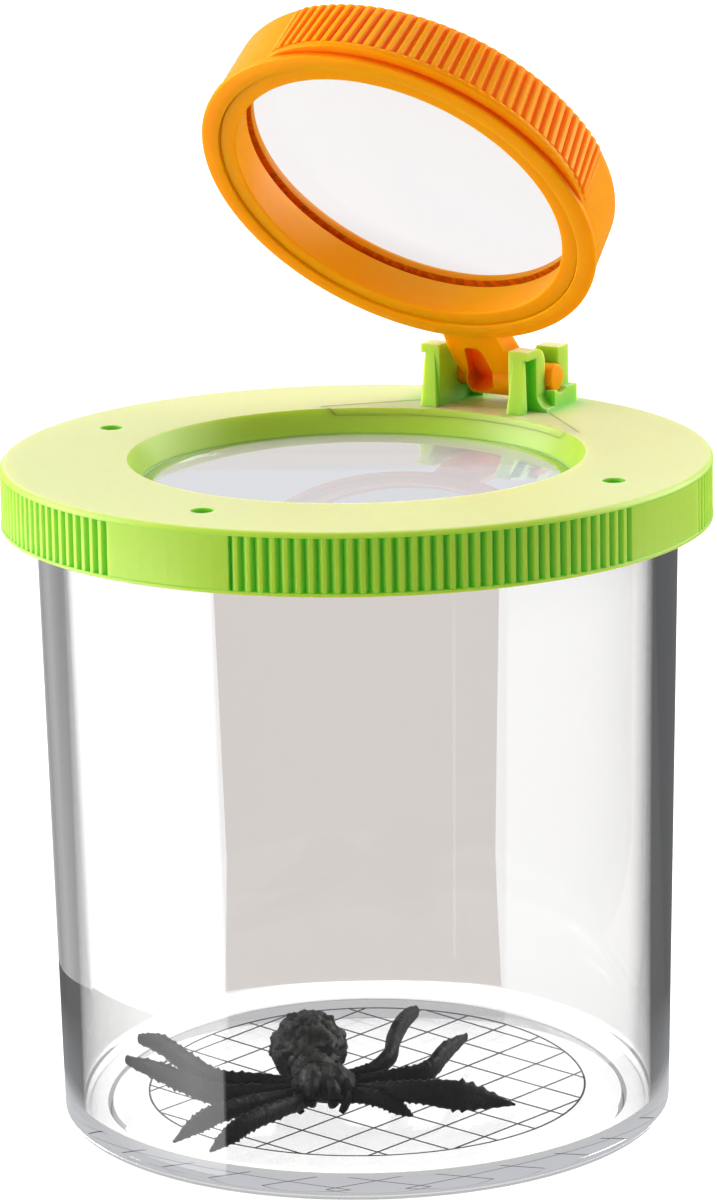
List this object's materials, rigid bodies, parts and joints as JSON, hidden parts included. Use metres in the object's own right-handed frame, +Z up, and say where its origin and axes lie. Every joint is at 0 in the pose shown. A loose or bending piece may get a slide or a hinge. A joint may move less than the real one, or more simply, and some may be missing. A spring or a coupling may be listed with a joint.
{
  "type": "bug catcher jar",
  "caption": "Clear beaker with a measuring grid on its floor, a ribbed press-on lid holding a lens, a second lens in a flip-up ring on a snap hinge, and a toy spider.",
  "frame": {"origin": "centre of the beaker's foot ring, on the surface that it stands on", "axes": "+Z up along the beaker's axis, +Y towards the hinge, +X to the right as seen from the side opposite the hinge"},
  "size_m": [0.0706, 0.0706, 0.1117],
  "materials": {
    "clear_plastic": "clear injection-moulded polystyrene, glossy",
    "grid_ink": "black printed ink",
    "lid_plastic": "lime green, satin to glossy",
    "lens_plastic": "clear polished lens",
    "ring_plastic": "orange-yellow, glossy",
    "spider_rubber": "black moulded rubber, satin"
  },
  "bodies": {
    "jar": {"beaker": "clear_plastic", "measuring_grid": "grid_ink"},
    "cover": {"lid": "lid_plastic", "lid_lens": "lens_plastic"},
    "magnifier": {"magnifier_frame": "ring_plastic", "retaining_ring": "ring_plastic", "magnifier_lens": "lens_plastic"},
    "spider": {"toy_spider": "spider_rubber"}
  },
  "joints": [
    {"name": "lid_lift", "type": "slide", "parent": "jar", "child": "cover", "axis": [0, 0, 1], "range_m": [0, 0.055]},
    {"name": "lens_flip", "type": "hinge", "parent": "cover", "child": "magnifier", "pos_m": [0, 0.0292, 0.07046], "axis": [-1, 0, 0], "range_deg": [-50, 50]},
    {"name": "spider_lift", "type": "slide", "parent": "jar", "child": "spider", "axis": [0, 0, 1], "range_m": [0, 0.045]}
  ]
}
